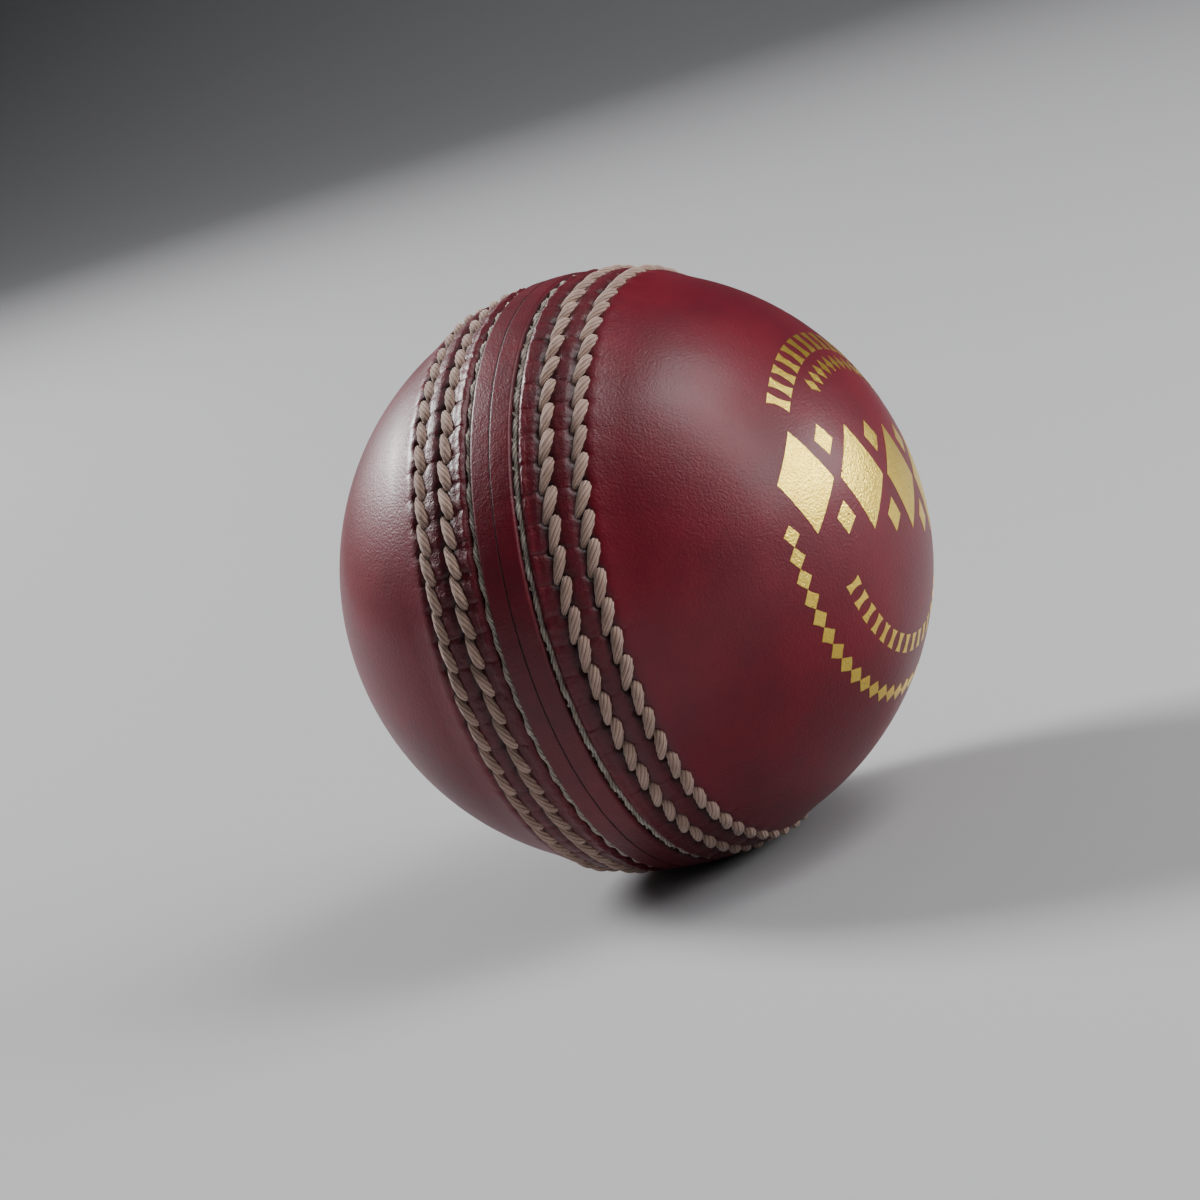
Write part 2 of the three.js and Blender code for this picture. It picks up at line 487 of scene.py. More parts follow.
def mixed(tree, factor, *colours):
    """Two colours mixed by a factor. Each is a socket, or a plain colour of three numbers."""
    first, second = (each if isinstance(each, bpy.types.NodeSocket) else (*each, 1) for each in colours)
    inputs = {"Factor": factor, 6: first, 7: second}  # a Mix node's colours are its inputs 6 and 7
    return node(tree, "ShaderNodeMix", inputs, data_type="RGBA").outputs[2]


def own_value(tree, name):
    """A value that the piece's mesh holds."""
    made = node(tree, "ShaderNodeAttribute", attribute_type="GEOMETRY", attribute_name=name)
    return Term(tree, made.outputs["Fac"])


def bumped(tree, height, depth):
    """A normal bent by a height from 0 to 1."""
    return node(tree, "ShaderNodeBump", {"Height": height, "Distance": depth})


def leather_material(sizes, colours):
    """Dyed and waxed leather outside, and pale suede on its cut edges and its back."""
    material, tree, shader = new_material(
        "Dyed leather", specular_ior_level=0.38, coat_weight=0.14, coat_roughness=0.22
    )
    place = object_place(tree)
    surface = use_group(tree, "Grain", {"Place": place, "Pebble": 0.27 * MM, "Wrinkle": 0.36 * MM})
    hollow, arc = own_value(tree, "hollow"), own_value(tree, "arc")
    dirt_and_shade_mask = use_group(tree, "Grime", {"Place": place, "Hollow": hollow, "Amount": 0.9})["Mask"]
    mottle = ramp(surface["Mottle"], 0.36, 0.66)
    dyed = mixed(tree, 0.45 + mottle * 0.55, colours.dark_dye, colours.bright_dye)
    flecks = ramp(noise(tree, place, 1.1 * MM), 0.5, 0.75)
    dyed = mixed(tree, flecks * 0.2, dyed, colours.dark_dye)
    # darker in the hollows and along the seam: partly dirt, partly painted shade
    dyed = mixed(tree, dirt_and_shade_mask, dyed, colours.grime)
    skin = ramp(own_value(tree, "skin"), 0.35, 0.8)
    polish = 0.38 + surface["Mottle"] * 0.1 + dirt_and_shade_mask * 0.12
    cracked = band(arc, CLOSING_ROW - 0.5 * MM, OUTER_ROW + 0.7 * MM, 0.5 * MM)
    height = surface["Height"] + cracked * noise(tree, place, 0.22 * MM) * 1.3
    looks = {
        "Base Color": mixed(tree, skin, colours.suede, dyed),
        "Roughness": 0.85 - skin * (0.85 - polish),
        "Normal": bumped(tree, height, sizes.grain_depth),
    }
    fill(tree, shader, looks)
    return material


def thread_material(name, colour, soil, dirt_and_shade_amount, strands):
    """Waxed linen or wool: strands twisted together, with painted shade and some dirt between them, and
    patches where dirt has settled.
    """
    material, tree, shader = new_material(name, roughness=0.78, sheen_weight=0.25, sheen_roughness=0.5)
    place = object_place(tree)
    section = node(tree, "ShaderNodeAttribute", attribute_name="section").outputs["Vector"]
    inputs = {"Section": section, "Along": own_value(tree, "along"), "Strands": strands}
    thread = use_group(tree, "Strands", inputs)
    inputs = {"Place": place, "Hollow": thread["Groove"], "Amount": dirt_and_shade_amount}
    dirt_and_shade_mask = use_group(tree, "Grime", inputs)["Mask"]
    patches = ramp(noise(tree, place, 2.5 * MM), 0.35, 0.7)
    shade = mixed(tree, patches * 0.5, colour, soil)
    shade = mixed(tree, ramp(thread["Fibre"], 0.35, 0.7) * 0.3, shade, soil)
    # the grooves between the strands are darkened with a dark copy of the soil colour: painted shade,
    # partly dirt
    shade = mixed(tree, dirt_and_shade_mask, shade, tinted(soil, 0.25))
    normal = bumped(tree, thread["Height"], 0.12 * MM)
    fill(tree, shader, {"Base Color": shade, "Normal": normal})
    return material


def foil_material(sizes, colours):
    """Thin gold foil pressed into the leather, which keeps the leather's grain and a few worn flecks."""
    material, tree, shader = new_material("Gold foil", specular_ior_level=0.5)
    place = object_place(tree)
    surface = use_group(tree, "Grain", {"Place": place, "Pebble": 0.3 * MM, "Wrinkle": 0.3 * MM})
    worn = ramp(noise(tree, place, 0.45 * MM, 3.0), 0.66, 0.74) * 0.85
    tone = mixed(tree, noise(tree, place, 2 * MM), colours.gold, colours.pale_gold)
    looks = {
        "Base Color": mixed(tree, worn, tone, colours.dark_dye),
        "Metallic": 1 - worn,
        "Roughness": 0.3 + worn * 0.3,
        "Normal": bumped(tree, surface["Height"], sizes.grain_depth * 1.6),
    }
    fill(tree, shader, looks)
    return material


def granule_material(name, light, dark, size):
    """Pressed granules, such as cork."""
    material, tree, shader = new_material(name, roughness=0.85)
    place = object_place(tree)
    grains = use_group(tree, "Granules", {"Place": place, "Size": size})
    flecks = ramp(noise(tree, place, 0.3 * MM, 3.0), 0.6, 0.75) * 0.5
    shade = mixed(tree, grains["Tone"], light, dark)
    shade = mixed(tree, flecks, shade, tinted(dark, 0.4))
    shade = mixed(tree, grains["Gap"] * 0.8, shade, tinted(dark, 0.3))
    normal = bumped(tree, grains["Height"], 0.15 * MM)
    fill(tree, shader, {"Base Color": shade, "Normal": normal})
    return material


# ---- the leather cups ----

CREASE_STEPS = (0, 0.03, 0.065, 0.11, 0.17, 0.25, 0.34, 0.43)  # phases, close together at the crease
LIP_GAP = 0.03 * MM  # from the seam plane to each lip


def column_phases():
    """The phases of the finest ring's columns, round the whole ball."""
    one = [*CREASE_STEPS, 0.5, *(1 - step for step in CREASE_STEPS[:0:-1])]
    return (np.arange(STITCHES)[:, None] + np.array(one)[None, :]).ravel()


def cup_rings():
    """The cup's rings from its inner pole, over the lip, to its outer pole, as (arc, radius, share, skin).
    A ring has every share-th column, and skin is 1 on the dyed surface."""
    rings = [(arc * MM, INNER_RADIUS, 16, 0) for arc in range(54, 12, -3)]
    for row in (OUTER_ROW, MIDDLE_ROW):
        slot = ((0.75, 0), (0.5, 1.1), (-0.5, 1.1), (-0.75, 0))  # across the row, and into the leather
        rings += [(row + across * MM, INNER_RADIUS + deep * MM, 16, 0) for across, deep in slot]
    for share, radius in zip((16, 8, 4, 2), np.linspace(INNER_RADIUS, BALL_RADIUS - 1.2 * MM, 4)):
        rings.append((LIP_GAP, radius, share, 0))
    rings += [(LIP_GAP, BALL_RADIUS - depth * MM, 1, 0) for depth in (0.8, 0.5, 0.25)]
    # the seam's rings: from an arc, to an arc, step
    for low, high, step in (
        (0.03, 0.6, 0.09),
        (0.6, 2.0, 0.28),
        (2.0, 3.95, 0.1),
        (3.95, 11.7, 0.2),
        (11.7, 13.5, 0.36),
    ):
        arcs = np.linspace(low, high, round((high - low) / step), endpoint=False)
        rings += [(arc * MM, BALL_RADIUS, 1, 1) for arc in arcs]
    # the smooth leather's rings: from an arc, to an arc, step, share
    for low, high, step, share in (
        (13.5, 17, 0.5, 2),
        (17, 44, 0.75, 4),
        (44, 52, 1, 8),
        (52, 55.2, 0.8, 16),
    ):
        rings += [(arc * MM, BALL_RADIUS, share, 1) for arc in np.arange(low, high, step)]
    return rings


def between_rings(first, second, count, other):
    """Faces between two rings, given by their first points, where one may have twice the columns."""
    a = lambda i: first + i % count
    b = lambda i: second + i % other
    if count == other:
        return [(a(i), a(i + 1), b(i + 1), b(i)) for i in range(count)]
    if count < other:
        return [face[::-1] for face in between_rings(second, first, other, count)]
    faces = []
    for i in range(other):
        near, middle, far = a(2 * i), a(2 * i + 1), a(2 * i + 2)
        faces += [(near, middle, b(i)), (middle, b(i + 1), b(i)), (middle, far, b(i + 1))]
    return faces


def cup_blank(side):
    """A cup before its seam is raised, with arc, phase and skin held on its points."""
    phases, rings = column_phases(), cup_rings()
    counts = [len(phases[::share]) for _, _, share, _ in rings]
    starts = [sum(counts[:i]) for i in range(len(rings))]
    points, arcs, turns, skins = [], [], [], []
    for (arc, radius, share, skin), count in zip(rings, counts):
        x = LIP_GAP if arc == LIP_GAP and not skin else radius * sin(arc / BALL_RADIUS)
        reach = (radius**2 - x**2) ** 0.5
        turn = phases[::share] * STITCH_TURN
        points += zip([side * x] * count, reach * np.cos(turn), reach * np.sin(turn))
        arcs += [arc] * count
        turns += list(phases[::share])
        skins += [skin] * count
    faces = []
    for i in range(len(rings) - 1):
        faces += between_rings(starts[i], starts[i + 1], counts[i], counts[i + 1])
    for ring, radius, skin in ((0, INNER_RADIUS, 0), (-1, BALL_RADIUS, 1)):
        start, count, pole = starts[ring], counts[ring], len(points)
        fan = [(start + (i + 1) % count, start + i, pole) for i in range(count)]
        faces += fan if ring == 0 else [face[::-1] for face in fan]
        points.append((side * radius, 0, 0))
        arcs.append(BALL_RADIUS * pi / 2)
        turns.append(0)
        skins.append(skin)
    mesh = mesh_of("cup_blank", points, faces)
    hold(mesh, arc=arcs, phase=turns, skin=skins)
    face_outwards(mesh)
    return mesh


def seam_tree():
    """Raises the seam on a blank cup: the lip, the closing groove, the pillows of leather between the rows,
    and the creases and holes that the stitches pull in it."""
    sizes = {
        "Rise": 0.3 * MM,
        "Lip": 0.3 * MM,
        "Groove": 0.45 * MM,
        "Roll": 0.5 * MM,
        "Pillow": 0.2 * MM,
        "Crease": 0.12 * MM,
        "Wrinkles": 0.3 * MM,
        "Hole": 1.0 * MM,
        "Lean": 1.0,
    }
    tree, given, out = piece_tree("Raised seam", sizes)
    arc, phase, skin = (named(tree, name) for name in ("arc", "phase", "skin"))
    place = point_place(tree)
    fine = noise(tree, place, 0.7 * MM, 3.0, 0.6) - 0.5
    coarse = noise(tree, place, 3 * MM) - 0.5
    hole = phase.call("ROUND")
    aside = (phase - hole) * STITCH_PITCH
    inputs = {"ID": hole.call("MODULO", STITCHES), "Seed": 7}
    luck = Term(tree, node(tree, "FunctionNodeRandomValue", inputs, data_type="FLOAT").outputs[1])

    # the raised band, the lip, and the groove that the closing thread lies in, with rolled edges
    band_rise = given["Rise"] * (1 - ramp(arc, OUTER_ROW + 0.6 * MM, OUTER_ROW + 5 * MM))
    lip = given["Lip"] * ramp(arc, -0.25 * MM, 0.12 * MM)
    lip = lip * (1 - ramp(arc, CLOSING_ROW - 0.7 * MM, CLOSING_ROW))
    from_groove = (arc + fine * 0.2 * MM - (CLOSING_ROW - 0.03 * MM)).call("ABSOLUTE") - 0.29 * MM
    groove = 1 - ramp(from_groove, -0.08 * MM, 0.08 * MM)
    brink = (1 - from_groove / given["Roll"]).call("MAXIMUM", 0).call("MINIMUM", 0.98)
    roll = (1 - (1 - brink * brink).call("SQRT")) * given["Roll"]

    # the leather between the rows, which swells between two holes
    puff = 0.5 + 0.5 * ((phase * pi).call("SINE").call("ABSOLUTE") ** 0.6)
    rim = bell(arc, CLOSING_ROW + 0.9 * MM, 0.38 * MM) * (0.1 + fine * 2.0 + puff) * 0.22 * MM
    inner_pillow = band(arc, CLOSING_ROW + 0.9 * MM, MIDDLE_ROW - 1.0 * MM, 0.45 * MM) * puff * 0.9
    outer_pillow = band(arc, MIDDLE_ROW + 1.0 * MM, OUTER_ROW - 1.1 * MM, 0.5 * MM) * puff
    shoulder = bell(arc, OUTER_ROW + 1.5 * MM, 0.8 * MM) * puff * 0.1 * MM

    # wrinkles drawn out across the seam
    turn = phase * STITCH_TURN
    reach = BALL_RADIUS / (0.55 * MM)
    drawn_out = joined(tree, turn.call("COSINE") * reach, turn.call("SINE") * reach, arc / (2.2 * MM))
    wrinkles = (noise(tree, drawn_out, 1.0, 3.0) - 0.5) * given["Wrinkles"]
    wrinkles = wrinkles * band(arc, CLOSING_ROW + 0.6 * MM, OUTER_ROW + 1.2 * MM, 0.5 * MM)

    # what the stitches pull in: a trench under each row, creases, puckers outside the rows, and holes
    trench = bell(arc, MIDDLE_ROW, 0.8 * MM) + bell(arc, OUTER_ROW, 0.75 * MM)
    strength = 0.1 + luck * luck * 1.1
    crease = bell(aside + coarse * 0.9 * MM + fine * 0.3 * MM, 0, 0.17 * MM) * strength
    crease = crease * band(arc, CLOSING_ROW + 0.9 * MM, OUTER_ROW - 0.4 * MM, 0.3 * MM)
    crease = crease * (1 - 0.8 * bell(arc, (MIDDLE_ROW + OUTER_ROW) / 2 + coarse * 1.5 * MM, 0.8 * MM))
    pucker = bell(aside - given["Lean"] * (arc - OUTER_ROW) * 0.5, 0, 0.16 * MM) * strength
    pucker = pucker * band(arc, OUTER_ROW + 0.3 * MM, OUTER_ROW + 1.3 * MM, 0.7 * MM)
    pits = bell(aside, 0, 0.5 * MM) * (bell(arc, MIDDLE_ROW, 0.75 * MM) + bell(arc, OUTER_ROW, 0.75 * MM))

    sunk = groove * given["Groove"] + roll + trench * 0.3 * MM + pits * given["Hole"]
    sunk = sunk + crease * given["Crease"] + pucker * given["Crease"] * 0.9
    raised = band_rise + lip + rim + shoulder + (inner_pillow + outer_pillow) * given["Pillow"]
    off_lip = ramp(arc, CLOSING_ROW - 1.0 * MM, CLOSING_ROW)
    unevenness = coarse * 0.1 * MM + fine * (0.02 * MM + off_lip * 0.09 * MM)
    unevenness = unevenness * (1 - ramp(arc, 11 * MM, 15 * MM)) + coarse * 0.03 * MM
    height = (raised - sunk + unevenness + wrinkles) * skin
    offset = scaled(tree, one_long(tree, place), height)
    cup = node(tree, "GeometryNodeSetPosition", {"Geometry": given["Geometry"], "Offset": offset})

    # where dirt gathers and where shade is painted: darker in the creases, holes, closing groove and crack,
    # across the seam band and beside the rows; this darkening is partly dirt and partly painted shade
    near_crack = 1 - ramp(arc, 0, 0.14 * MM)
    by_rows = bell(arc, MIDDLE_ROW, 1.5 * MM) + bell(arc, OUTER_ROW, 1.3 * MM)
    seam_dirt_and_shade = 0.36 * (1 - ramp(arc, OUTER_ROW, OUTER_ROW + 2.5 * MM)) + by_rows * 0.3
    hollow = ramp(sunk, 0.05 * MM, 0.6 * MM) + near_crack * 0.6 + seam_dirt_and_shade
    return finish_piece(tree, stored(tree, cup, "hollow", hollow), given, out)


# ---- threads ----


def thread_group():
    """Sweeps a twisted, fluted thread along a curve."""
    inputs = {"Curve": "geometry", "Thickness": "value", "Turn": "value", "Strands": 9, "Groove": 0.9}
    tree, given, out = new_group("Twisted thread", "GeometryNodeTree", inputs, {"Mesh": "geometry"})
    length = node(tree, "GeometryNodeSplineParameter").outputs["Length"]
    curve = stored(tree, given["Curve"], "along", length)
    curve = node(tree, "GeometryNodeSetCurveTilt", {"Curve": curve, "Tilt": given["Turn"]})
    place, odd = point_place(tree), point_number(tree).call("MODULO", 2)
    section = ring_curve(tree, given["Strands"] * 2, 1.0)
    section = moved(tree, section, scaled(tree, place, 1 - odd * (1 - given["Groove"])))
    section = stored(tree, section, "section", place, "FLOAT_VECTOR")
    inputs = {"Curve": curve, "Profile Curve": section, "Scale": given["Thickness"], "Fill Caps": True}
    plug(tree, node(tree, "GeometryNodeCurveToMesh", inputs), out.inputs["Mesh"])
    return tree


def row_tree():
    """Repeats one stitch round the ball. The stitch is a line of points that hold their thickness: x is
    across the row, y is along it, and z is above the leather."""
    sizes = {"Row": OUTER_ROW, "Stitches": STITCHES, "Twist": 520.0, "Wobble": 0.07, "Seed": 1}
    tree, given, out = piece_tree("Sewn row", sizes)
    line = node(tree, "GeometryNodeMeshToCurve", {"Mesh": given["Geometry"]})
    line = node(tree, "GeometryNodeCurveSplineType", {"Curve": line}, spline_type="CATMULL_ROM")
    line = node(tree, "GeometryNodeSetSplineResolution", {"Geometry": line, "Resolution": 2})
    length = Term(tree, node(tree, "GeometryNodeSplineParameter").outputs["Length"])
    inputs = {"Curve": line, "Thickness": named(tree, "thickness"), "Turn": length * given["Twist"]}
    stitch = use_group(tree, "Twisted thread", inputs)["Mesh"]
    reach = (given["Row"] / BALL_RADIUS).call("COSINE") * BALL_RADIUS
    pitch = reach * 2 * pi / given["Stitches"]
    inputs = {"Start Location": joined(tree, given["Row"], 0, 0), "Offset": joined(tree, 0, -pitch, 0)}
    holes = node(tree, "GeometryNodeMeshLine", {"Count": given["Stitches"], **inputs})
    small = given["Wobble"]
    least, most = joined(tree, 0, -small, -small), joined(tree, 0, small, small)
    turned = random_vector(tree, least, most, given["Seed"])
    least, most = joined(tree, 1 - small, 1, 1 - small), joined(tree, 1 + small, 1, 1 + small)
    sized = random_vector(tree, least, most, given["Seed"] + 50)
    row = realized(tree, instanced(tree, holes, stitch, Rotation=turned, Scale=sized))
    x, y, z = split(tree, point_place(tree))
    return finish_piece(tree, moved(tree, row, on_ball(tree, x, -y / reach, z)), given, out)


def stitch_line(lean, sizes):
    """One stitch as a line of points with thicknesses. Its thread comes up at the head, lies slanting on
    the leather, narrows, goes down beside the next stitch's head, and runs across behind the leather."""
    width, back = sizes.stitch_width / 2, INNER_RADIUS - BALL_RADIUS + 0.5 * MM
    top = sizes.stitch_rise - width * 0.85
    path = (
        # across in half-widths, along in pitches, height above the lying thread, thickness in half-widths
        (0.60, 0.00, back - top, 0.45),
        (0.72, 0.03, -1.6 * MM, 0.6),
        (0.84, 0.04, -0.75 * MM, 0.84),
        (0.86, -0.01, -0.22 * MM, 0.97),
        (0.76, -0.13, 0.02 * MM, 1.0),
        (0.52, -0.31, 0.10 * MM, 1.02),
        (0.14, -0.54, 0.07 * MM, 0.90),
        (-0.30, -0.77, -0.05 * MM, 0.72),
        (-0.68, -0.94, -0.24 * MM, 0.56),
        (-0.86, -1.01, -0.6 * MM, 0.5),
        (-0.86, -1.06, -1.5 * MM, 0.5),
        (-0.60, -1.06, back - top + 0.3 * MM, 0.45),
        (-0.20, -1.03, back - top, 0.45),
        (0.60, -1.00, back - top, 0.45),
    )
    points = [(x * width, y * STITCH_PITCH * lean, z + top) for x, y, z, _ in path]
    line = mesh_of("stitch_line", points, [], [(i, i + 1) for i in range(len(path) - 1)])
    hold(line, thickness=[thick * width for *_, thick in path])
    return line


def closing_tree():
    """The closing thread: a ring in each lip's groove, which sways and dips at every stitch, and a
    crossing under the lips for every stitch."""
    sizes = {
        "Row": CLOSING_ROW,
        "Width": 0.75 * MM,
        "Depth": 0.12 * MM,
        "Sway": 0.08 * MM,
        "Dip": 0.15 * MM,
        "Twists": 64,
    }
    tree, given, out = piece_tree("Closing thread", sizes)
    steps = STITCHES * 12
    number = point_number(tree)
    turn = number * (2 * pi / steps)
    swell = (turn * STITCHES).call("COSINE")
    height = -(given["Depth"] + given["Dip"] * swell)
    thickness = given["Width"] * (0.5 - swell * 0.05)
    parts = []
    for side in SIDES.values():
        sway = given["Sway"] * (turn * (STITCHES / 2) + side).call("SINE")
        ring = on_ball(tree, (given["Row"] + sway) * side, turn, height)
        ring = moved(tree, ring_curve(tree, steps, BALL_RADIUS), ring)
        inputs = {"Curve": ring, "Thickness": thickness, "Turn": turn * given["Twists"] * side}
        inputs |= {"Strands": 4, "Groove": 0.8}
        parts.append(use_group(tree, "Twisted thread", inputs)["Mesh"])

    line = {"Count": 7, "Start Location": (-1, 0, 0), "Offset": (1 / 3, 0, 0)}
    line = node(tree, "GeometryNodeMeshLine", line)
    x, _, _ = split(tree, point_place(tree))
    drop = (1 - x**4) * 1.3 * MM + given["Depth"]
    line = moved(tree, line, joined(tree, x * given["Row"] * 0.93, 0, -drop))
    line = node(tree, "GeometryNodeMeshToCurve", {"Mesh": line})
    inputs = {"Curve": line, "Thickness": given["Width"] * 0.35, "Turn": 0.0, "Strands": 3, "Groove": 0.8}
    crossing = use_group(tree, "Twisted thread", inputs)["Mesh"]
    hole = number * STITCH_TURN
    hole = joined(tree, 0, hole.call("COSINE") * BALL_RADIUS, hole.call("SINE") * BALL_RADIUS)
    outward = aimed(tree, point_place(tree), (1, 0, 0))
    holes = moved(tree, spots(tree, STITCHES), hole)
    parts.append(instanced(tree, holes, crossing, Rotation=outward))
    return finish_piece(tree, gathered(tree, *parts), given, out)


# ---- the gold stamp ----


def ornament_group():
    """Repeats a chip of foil along an arc of the stamp, or along a straight line if it has a spacing."""
    inputs = {"Chip": "geometry", "Count": 9, "Radius": "value", "Start": "value", "Sweep": "value"}
    inputs |= {"Width": MM, "Height": MM, "Spacing": "value"}
    tree, given, out = new_group("Ornament", "GeometryNodeTree", inputs, {"Chips": "geometry"})
    number = point_number(tree)
    middle = (given["Count"] - 1) / 2
    turn = given["Start"] + (number / middle - 1) / 2 * given["Sweep"]
    x = given["Radius"] * turn.call("SINE") + (number - middle) * given["Spacing"]
    row = joined(tree, x, given["Radius"] * turn.call("COSINE"), 0)
    row = moved(tree, spots(tree, given["Count"]), row)
    turned = node(tree, "FunctionNodeEulerToRotation", {0: joined(tree, 0, 0, -turn)})
    shape = joined(tree, given["Width"], given["Height"], 1)
    plug(tree, instanced(tree, row, given["Chip"], Rotation=turned, Scale=shape), out.inputs["Chips"])
    return tree


def stamp_tree():
    """Lays out the stamp's ornaments on a flat sheet, and wraps the sheet on the stamped cup's pole."""
    sizes = {"Size": 1.0, "Turn": 0.28, "Depth": 0.08 * MM, "Rise": 0.03 * MM, "Rough": 0.2 * MM}
    tree, given, out = piece_tree("Gold stamp", sizes)
    plate = {"Size": (1, 1, 1), "Vertices X": 13, "Vertices Y": 13, "Vertices Z": 2}
    lozenge, bar = (node(tree, "GeometryNodeMeshCube", plate) for _ in range(2))
    x, y, z = split(tree, point_place(tree))
    lozenge = moved(tree, lozenge, joined(tree, (x + y) / 2, (y - x) / 2, z))
    bar = moved(tree, bar, joined(tree, x * (0.62 + 1.52 * y * y), y, z))
    ornaments = (
        # chip, count, radius, middle of the arc, sweep, width, height, spacing; degrees and millimetres
        (bar, 17, 22.7, 0, 104, 1.7, 3.0, 0),
        (lozenge, 13, 19.0, 0, 70, 1.5, 2.4, 0),
        (lozenge, 5, 3.6, 0, 0, 8.2, 12.8, 9.4),
        (lozenge, 4, 8.4, 0, 0, 3.0, 4.0, 9.4),
        (lozenge, 4, 1.2, 180, 0, 3.0, 4.0, -9.4),
        (lozenge, 25, 22.6, 180, 166, 2.7, 2.2, 0),
        (bar, 15, 16.4, 180, 112, 1.3, 2.2, 0),
    )
    parts = []
    for chip, count, radius, start, sweep, width, height, spacing in ornaments:
        inputs = {"Radius": radius, "Width": width, "Height": height, "Spacing": spacing}
        inputs = {name: value * MM for name, value in inputs.items()}
        inputs |= {"Chip": chip, "Count": count, "Start": radians(start), "Sweep": radians(sweep)}
        parts.append(use_group(tree, "Ornament", inputs)["Chips"])
    sheet = realized(tree, gathered(tree, *parts))

    ragged = (noise(tree, point_place(tree), 0.7 * MM) - 0.5) * given["Rough"]
    u, v = ((flat + ragged) * given["Size"] for flat in (x, y))
    reach = (u * u + v * v).call("SQRT") + 0.001 * MM
    angle = reach / BALL_RADIUS
    rise, depth = given["Rise"], given["Depth"]
    radius = BALL_RADIUS + z.call("SIGN") * (rise + depth) / 2 + (rise - depth) / 2
    across, up = (radius * angle.call("SINE") * flat / reach for flat in (u, v))
    cosine, sine = given["Turn"].call("COSINE"), given["Turn"].call("SINE")
    x = radius * angle.call("COSINE")
    wrapped = joined(tree, x, across * cosine + up * sine, up * cosine - across * sine)
    return finish_piece(tree, moved(tree, sheet, wrapped), given, out)


# ---- the core ----


def winding_tree():
    """A packed shell of yarn, with turns of yarn laid over it in every direction."""
    sizes = {"Inner": 12.3 * MM, "Outer": 15.3 * MM, "Turns": 90, "Yarn": 1.1 * MM, "Seed": 1}
    tree, given, out = piece_tree("Winding", sizes)
    place, yarn = point_place(tree), given["Yarn"]
    shells = []
    for radius in (given["Outer"] - yarn * 0.9, given["Inner"]):
        swell = noise(tree, place, 0.12) - 0.5
        shell = node(tree, "GeometryNodeMeshIcoSphere", {"Subdivisions": 5})
        shells.append(moved(tree, shell, scaled(tree, place, radius + swell * yarn * 0.1)))

    steps = 96  # points in one turn of yarn
    turns = point_number(tree) / steps
    angle, lap = turns * 2 * pi, turns.call("FLOOR")
    aim = random_vector(tree, (-1, -1, -1), (1, 1, 1), given["Seed"])
    facing = aimed(tree, aim, (1, 0.3, 0.1))
    rings = instanced(tree, spots(tree, given["Turns"]), ring_curve(tree, steps, 1.0), Rotation=facing)
    drift = random_vector(tree, (-0.5, -0.5, -0.5), (0.5, 0.5, 0.5), given["Seed"] + 9, ID=lap)
    lift = ((angle * 3 + lap * 1.7).call("SINE") * 0.1 - 0.62) * yarn
    laid = scaled(tree, one_long(tree, summed(tree, place, drift)), given["Outer"] + lift)
    rings = moved(tree, realized(tree, rings), laid)
    inputs = {"Curve": rings, "Thickness": yarn / 2, "Turn": angle * 24, "Strands": 3, "Groove": 0.8}
    wound = use_group(tree, "Twisted thread", inputs)["Mesh"]
    parts = (shells[0], inside_out(tree, shells[1]), wound)
    return finish_piece(tree, gathered(tree, *parts), given, out)


def strip_tree():
    """A quarter of a shell of cork. It fills a quarter turn round X, with its corners rounded and a gap
    left to its neighbours."""
    sizes = {"Inner": 15.6 * MM, "Outer": 18.9 * MM, "Turn": "value", "Gap": 0.3 * MM, "Rounding": 0.4 * MM}
    tree, given, out = piece_tree("Cork strip", sizes)
    block = {"Size": (2, 2, 2), "Vertices X": 49, "Vertices Y": 33, "Vertices Z": 5}
    block = node(tree, "GeometryNodeMeshCube", block)
    place = point_place(tree)
    x, y, z = split(tree, place)
    inner, outer = given["Inner"], given["Outer"]
    open_pole = 0.09  # radians left open round each pole
    latitude = x * (0.85 + 0.15 * x * x) * (pi / 2 - open_pole)
    half_gap = (given["Gap"] / 2 / outer / latitude.call("COSINE")).call("ARCSINE")
    narrowed = y * (1 - y**6 * z * z * 0.02)
    turn = narrowed * (pi / 4 - half_gap) + given["Turn"]
    nearest_edge = y.call("ABSOLUTE").call("MAXIMUM", x.call("ABSOLUTE"))
    rounding = ramp(nearest_edge, 0.9, 1.0) * given["Rounding"]
    bumps = (noise(tree, place, 0.2, 3.0) - 0.5) * 0.15 * MM
    radius = (outer + inner) / 2 + z * ((outer - inner) / 2 - rounding - bumps)
    reach = radius * latitude.call("COSINE")
    x = radius * latitude.call("SINE")
    bent = joined(tree, x, reach * turn.call("COSINE"), reach * turn.call("SINE"))
    return finish_piece(tree, inside_out(tree, moved(tree, block, bent)), given, out)


def nucleus_tree():
    """A moulded ball of cork and rubber, with the ridge that its mould left."""
    sizes = {"Radius": 12 * MM, "Flash": 0.25 * MM, "Pit": 0.2 * MM}
    tree, given, out = piece_tree("Nucleus", sizes)
    place = point_place(tree)
    ridge = bell(split(tree, place)[2], 0, 0.025) * given["Flash"]
    pits = ramp(noise(tree, place, 0.12, 3.0), 0.5, 0.65) * given["Pit"]
    radius = given["Radius"] - given["Flash"] + ridge - pits
    ball = node(tree, "GeometryNodeMeshIcoSphere", {"Radius": 1.0, "Subdivisions": 7})
    return finish_piece(tree, moved(tree, ball, scaled(tree, place, radius)), given, out)


GROUP_MAKERS = {
    "Grain": grain_group,
    "Grime": grime_and_shade_group,
    "Strands": strand_group,
    "Granules": granule_group,
    "Twisted thread": thread_group,
    "Ornament": ornament_group,
    "Raised seam": seam_tree,
    "Sewn row": row_tree,
    "Closing thread": closing_tree,
    "Gold stamp": stamp_tree,
    "Winding": winding_tree,
    "Cork strip": strip_tree,
    "Nucleus": nucleus_tree,
}


# ---- sizes and colours ----


